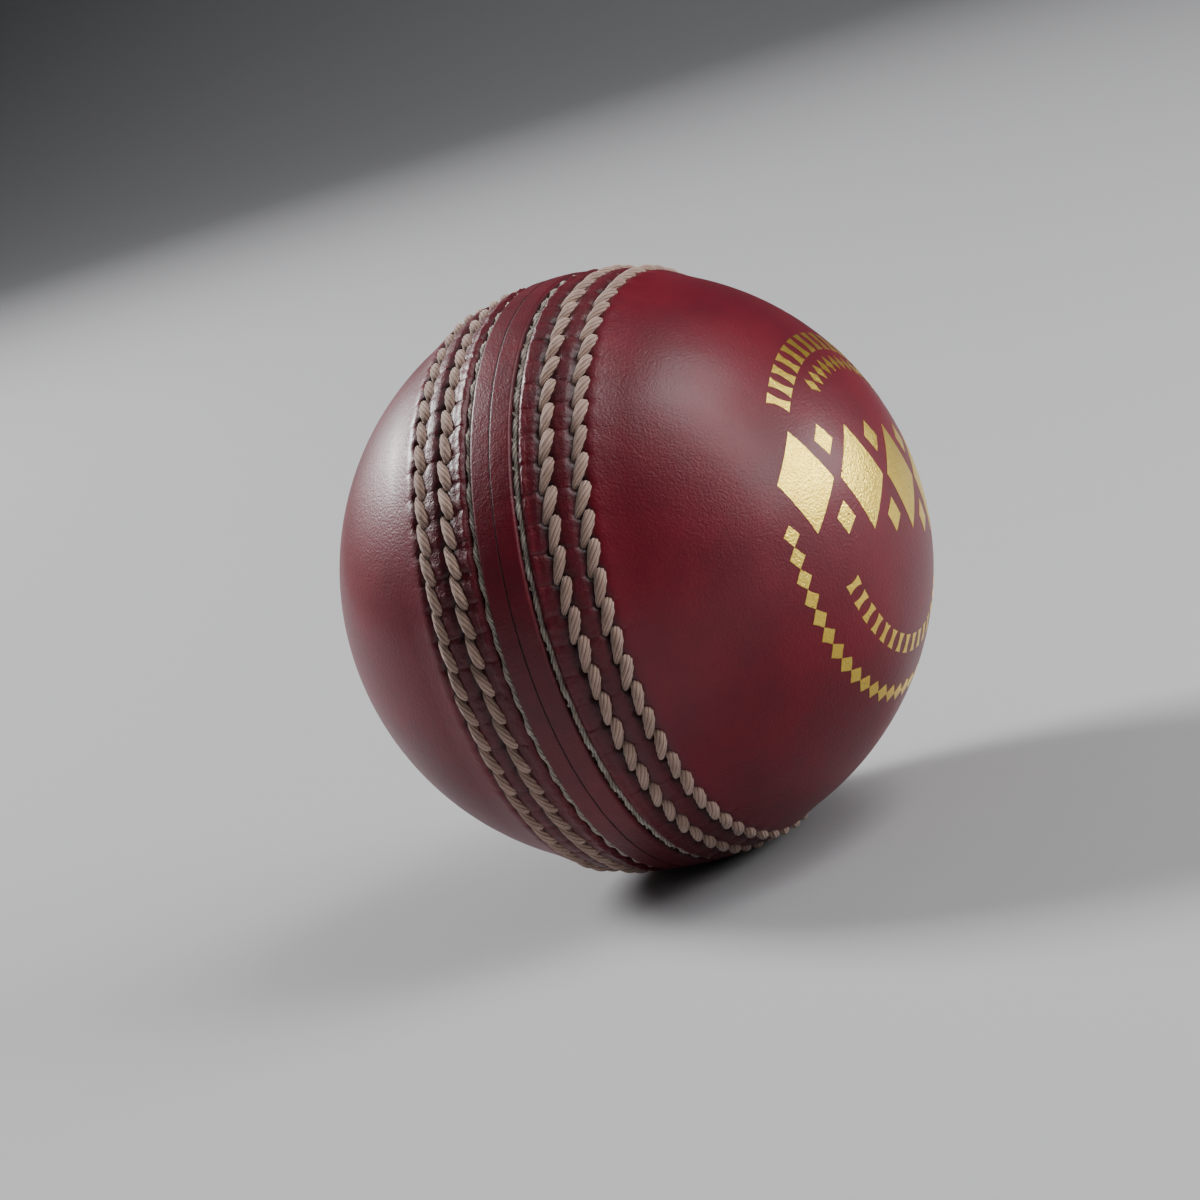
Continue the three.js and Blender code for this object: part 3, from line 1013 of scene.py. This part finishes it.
def length(name, what, millimetres):
    return bpy.props.FloatProperty(
        name=name, description=what, default=millimetres * MM, min=0, subtype="DISTANCE", unit="LENGTH"
    )


def colour(name, what, *value):
    return bpy.props.FloatVectorProperty(
        name=name, description=what, default=value, min=0, max=1, size=3, subtype="COLOR"
    )


class CricketBallSizes(bpy.types.PropertyGroup):
    stitch_width: length("Stitch Width", "Width of a sewn stitch at its head", 1.47)
    stitch_rise: length("Stitch Rise", "How far a stitch stands above the leather", 0.7)
    seam_rise: length("Seam Rise", "How far the band of stitches stands above the ball", 0.3)
    crease: length("Crease", "Depth of the creases between stitches", 0.12)
    closing_width: length("Closing Thread Width", "Width of the sunken thread beside each lip", 0.75)
    yarn: length("Yarn", "Width of the yarn in the core's windings", 1.1)
    stamp_rise: length("Stamp Rise", "How far the gold foil stands above the leather", 0.03)
    grain_depth: length("Grain Depth", "Depth of the leather's grain", 0.06)


class CricketBallColours(bpy.types.PropertyGroup):
    bright_dye: colour("Bright Dye", "Red of the leather where the dye is clearest", 0.145, 0.001, 0.012)
    dark_dye: colour("Dark Dye", "Red of the leather where the dye is deepest", 0.075, 0.0006, 0.008)
    # this colour is dirt and wax, and also the painted shade in the leather's creases, holes, crack and
    # seam band
    grime: colour("Grime", "Dirt and wax in the leather's creases", 0.014, 0.0025, 0.0035)
    suede: colour("Suede", "Back and cut edges of the leather", 0.33, 0.12, 0.09)
    thread: colour("Thread", "Waxed linen of the sewn rows", 0.48, 0.315, 0.25)
    thread_soil: colour("Soiled Thread", "Dirt on the sewn rows", 0.22, 0.13, 0.09)
    closing: colour("Closing Thread", "Thread that closes the seam", 0.5, 0.46, 0.39)
    gold: colour("Gold", "Foil of the stamp", 0.93, 0.6, 0.09)
    pale_gold: colour("Pale Gold", "Foil where it is thickest", 1.0, 0.8, 0.15)
    cork: colour("Cork", "Light granules of cork", 0.42, 0.24, 0.12)
    yarn: colour("Yarn", "Wool yarn of the core's windings", 0.6, 0.52, 0.38)
    nucleus: colour("Nucleus", "Cork and rubber in the middle of the ball", 0.08, 0.05, 0.04)
    floor: colour("Floor", "Floor and backdrop", 0.4, 0.4, 0.41)


def outer_radius(node_name):
    """How far a CAD node of the core reaches from the ball's centre."""
    return max(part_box(node_name)[1])


def sizes_and_colours(context):
    return context.scene.cricket_ball_sizes, context.scene.cricket_ball_colours


# ---- operators ----


class AddCups(bpy.types.Operator):
    """Add the two leather cups, with their raised seam"""

    bl_idname = "cricket_ball.add_cups"
    bl_label = "Leather Cups"
    bl_options = {"REGISTER", "UNDO"}

    def execute(self, context):
        sizes, colours = sizes_and_colours(context)
        leather = leather_material(sizes, colours)
        settings = {"rise": sizes.seam_rise, "crease": sizes.crease, "material": leather}
        for name, side in SIDES.items():
            cup = grown("Raised seam", cup_blank(side), lean=side, **settings)
            add_piece(f"{name}_leather_cup", cup, "leather", f"{name}_cup")
        return {"FINISHED"}


class AddRows(bpy.types.Operator):
    """Add the four sewn rows of stitches"""

    bl_idname = "cricket_ball.add_rows"
    bl_label = "Sewn Rows"
    bl_options = {"REGISTER", "UNDO"}

    def execute(self, context):
        sizes, colours = sizes_and_colours(context)
        linen = thread_material("Waxed linen", colours.thread, colours.thread_soil, 0.8, 9.0)
        seed = 1
        for name, side in SIDES.items():
            for row, arc in (("outer", OUTER_ROW), ("middle", MIDDLE_ROW)):
                settings = {"row": arc * side, "twist": 520.0 * side, "seed": seed, "material": linen}
                stitches = grown("Sewn row", stitch_line(side, sizes), **settings)
                add_piece(f"{name}_{row}_stitches", stitches, "stitch_thread", f"{name}_{row}_row")
                seed += 1
        return {"FINISHED"}


class AddClosingThread(bpy.types.Operator):
    """Add the sunken thread that closes the seam"""

    bl_idname = "cricket_ball.add_closing_thread"
    bl_label = "Closing Thread"
    bl_options = {"REGISTER", "UNDO"}

    def execute(self, context):
        sizes, colours = sizes_and_colours(context)
        cord = thread_material("Closing linen", colours.closing, colours.thread_soil, 0.9, 4.0)
        thread = grown("Closing thread", width=sizes.closing_width, material=cord)
        add_piece("closing_stitches", thread, "stitch_thread", "closing_thread")
        return {"FINISHED"}


class AddStamp(bpy.types.Operator):
    """Add the gold stamp on the stamped cup's pole"""

    bl_idname = "cricket_ball.add_stamp"
    bl_label = "Gold Stamp"
    bl_options = {"REGISTER", "UNDO"}

    def execute(self, context):
        sizes, colours = sizes_and_colours(context)
        foil = foil_material(sizes, colours)
        stamp = grown("Gold stamp", rise=sizes.stamp_rise, material=foil)
        add_piece("gold_stamp", stamp, "gold_foil").data.set_sharp_from_angle(angle=radians(40))
        return {"FINISHED"}


class AddWindings(bpy.types.Operator):
    """Add the three layers of yarn wound on the core"""

    bl_idname = "cricket_ball.add_windings"
    bl_label = "Yarn Windings"
    bl_options = {"REGISTER", "UNDO"}

    def execute(self, context):
        sizes, colours = sizes_and_colours(context)
        wool = thread_material("Wool yarn", colours.yarn, colours.thread_soil, 0.5, 3.0)
        layers = {"inner": "nucleus", "middle": "inner_cork_strip_1", "outer": "outer_cork_strip_1"}
        for seed, (name, under) in enumerate(layers.items()):
            outer = outer_radius(f"{name}_winding")
            settings = {"inner": outer_radius(under) + LAYER_GAP, "outer": outer, "yarn": sizes.yarn}
            settings |= {"turns": round(YARN_TURNS * outer / CORE_RADIUS), "seed": seed, "material": wool}
            wound = grown("Winding", **settings)
            add_piece(f"{name}_yarn_winding", wound, "yarn", f"{name}_winding")
        return {"FINISHED"}


class AddCork(bpy.types.Operator):
    """Add the two layers of cork strips"""

    bl_idname = "cricket_ball.add_cork"
    bl_label = "Cork Strips"
    bl_options = {"REGISTER", "UNDO"}

    def execute(self, context):
        _, colours = sizes_and_colours(context)
        cork = granule_material("Cork", colours.cork, tinted(colours.cork, 0.45), 1.6 * MM)
        upright = Matrix(((0, 1, 0), (0, 0, 1), (1, 0, 0))).to_4x4()  # turns X to Z, Y to X and Z to Y
        layers = (("inner", "inner_winding", Matrix()), ("outer", "middle_winding", upright))
        for layer, under, turned in layers:
            inner, outer = outer_radius(under) + LAYER_GAP, outer_radius(f"{layer}_cork_strip_1")
            for number in range(1, 5):
                node_name = f"{layer}_cork_strip_{number}"
                low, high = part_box(node_name)
                middle = turned.inverted() @ (low + high)
                turn = atan2(middle.z, middle.y)
                strip = grown("Cork strip", inner=inner, outer=outer, turn=turn, material=cork)
                strip.transform(turned)
                add_piece(f"{layer}_cork_{number}", strip, "cork", node_name)
        return {"FINISHED"}


class AddNucleus(bpy.types.Operator):
    """Add the moulded nucleus in the middle of the ball"""

    bl_idname = "cricket_ball.add_nucleus"
    bl_label = "Nucleus"
    bl_options = {"REGISTER", "UNDO"}

    def execute(self, context):
        _, colours = sizes_and_colours(context)
        light = tinted(colours.nucleus, 3)
        moulded = granule_material("Moulded nucleus", light, colours.nucleus, 0.9 * MM)
        nucleus = grown("Nucleus", radius=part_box("nucleus")[1].z, material=moulded)
        add_piece("moulded_nucleus", nucleus, "nucleus", "nucleus")
        return {"FINISHED"}


# the camera's own right, up and back, one to a row, and its place along them
CAMERA_AXES = Matrix(((0.8849, 0.3550, -0.301), (0.2081, 0.2758, 0.9385), (0.4162, -0.8928, 0.17)))
CAMERA_PLACE = Vector((-4.34, -3.79, 434.07)) * MM


def soft_light(name, direction, distance, width, height, watts):
    """A rectangle of light that faces the ball."""
    data = bpy.data.lights.new(name, "AREA")
    data.shape, data.size, data.size_y, data.energy = "RECTANGLE", width, height, watts
    light = bpy.data.objects.new(name, data)
    light.location = Vector(direction).normalized() * distance
    light.rotation_mode = "QUATERNION"
    light.rotation_quaternion = light.location.to_track_quat("Z", "Y")
    bpy.context.scene.collection.objects.link(light)
    light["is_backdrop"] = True


def backdrop_mesh():
    """A round floor that curves up into a wall."""
    floor_radius, curve, wall_top, sides = 2.4, 1.2, 2.4, 96
    outline = [(r, 0) for r in np.linspace(0.05, floor_radius, 16)]
    outline += [(floor_radius + curve * sin(a), curve * (1 - cos(a))) for a in np.linspace(0.1, pi / 2, 14)]
    outline.append((floor_radius + curve, wall_top))
    points = [(0, 0, 0)]
    for r, z in outline:
        points += [(r * cos(2 * pi * k / sides), r * sin(2 * pi * k / sides), z) for k in range(sides)]
    faces = [(0, 1 + k, 1 + (k + 1) % sides) for k in range(sides)]
    for ring in range(len(outline) - 1):
        a, b = 1 + ring * sides, 1 + (ring + 1) * sides
        faces += [(a + k, b + k, b + (k + 1) % sides, a + (k + 1) % sides) for k in range(sides)]
    return mesh_of("backdrop", points, faces)


def backdrop_material(colours):
    material, tree, shader = new_material("Backdrop", roughness=0.9, specular_ior_level=0.2)
    faint = noise(tree, object_place(tree), 0.2) * 0.06
    shade = mixed(tree, faint, colours.floor, tinted(colours.floor, 0.9))
    plug(tree, shade, shader.inputs["Base Color"])
    return material


class AddStage(bpy.types.Operator):
    """Add the floor, the lights and the camera"""

    bl_idname = "cricket_ball.add_stage"
    bl_label = "Stage"
    bl_options = {"REGISTER", "UNDO"}

    def execute(self, context):
        _, colours = sizes_and_colours(context)
        scene = context.scene
        mesh = backdrop_mesh()
        mesh.transform(Matrix.Translation((0, 0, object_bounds()[0].z)))
        mesh.materials.append(backdrop_material(colours))
        mesh.shade_smooth()
        floor = bpy.data.objects.new("backdrop", mesh)
        scene.collection.objects.link(floor)
        floor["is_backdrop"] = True

        scene.world = bpy.data.worlds.new("Studio")
        scene.world.use_nodes = True
        sky = scene.world.node_tree.nodes["Background"]
        sky.inputs["Color"].default_value = (0.8, 0.85, 0.9, 1)
        sky.inputs["Strength"].default_value = 0.05
        # name, direction from the ball, distance, width, height, watts
        soft_light("Left softbox", (-0.775, 0.23, 0.57), 2.0, 0.56, 0.54, 66)
        soft_light("Strip softbox", (0.787, -0.063, 0.613), 0.8, 0.24, 0.92, 4.8)
        soft_light("Top softbox", (0.54, 0.17, 0.82), 0.8, 0.34, 0.28, 1.8)
        soft_light("Right softbox", (0.884, 0.426, 0.23), 0.8, 0.3, 0.22, 2.6)
        soft_light("Overhead", (0, 0, 1), 1.8, 2.4, 2.4, 4.5)

        camera = bpy.data.objects.new("Camera", bpy.data.cameras.new("Camera"))
        camera.data.lens = 108
        camera.data.clip_start, camera.data.clip_end = 0.01, 10
        camera.matrix_world = CAMERA_AXES.transposed().to_4x4() @ Matrix.Translation(CAMERA_PLACE)
        scene.collection.objects.link(camera)
        scene.camera = camera
        return {"FINISHED"}


class CricketBallPanel(bpy.types.Panel):
    """The ball's sizes, colours and pieces"""

    bl_idname = "VIEW3D_PT_cricket_ball"
    bl_label = "Cricket Ball"
    bl_space_type = "VIEW_3D"
    bl_region_type = "UI"
    bl_category = "Cricket Ball"

    def draw(self, context):
        for group in sizes_and_colours(context):
            box = self.layout.box()
            for name in group.__annotations__:
                box.prop(group, name)
        for operator in OPERATORS:
            self.layout.operator(operator.bl_idname)


OPERATORS = (AddCups, AddRows, AddClosingThread, AddStamp, AddWindings, AddCork, AddNucleus, AddStage)
CLASSES = (CricketBallSizes, CricketBallColours, *OPERATORS, CricketBallPanel)


def register():
    for each in CLASSES:
        bpy.utils.register_class(each)
    bpy.types.Scene.cricket_ball_sizes = bpy.props.PointerProperty(type=CricketBallSizes)
    bpy.types.Scene.cricket_ball_colours = bpy.props.PointerProperty(type=CricketBallColours)


def unregister():
    del bpy.types.Scene.cricket_ball_colours
    del bpy.types.Scene.cricket_ball_sizes
    for each in reversed(CLASSES):
        bpy.utils.unregister_class(each)


def main():
    register()
    for operator in OPERATORS:
        family, name = operator.bl_idname.split(".")
        getattr(getattr(bpy.ops, family), name)()


if __name__ == "__main__":
    main()
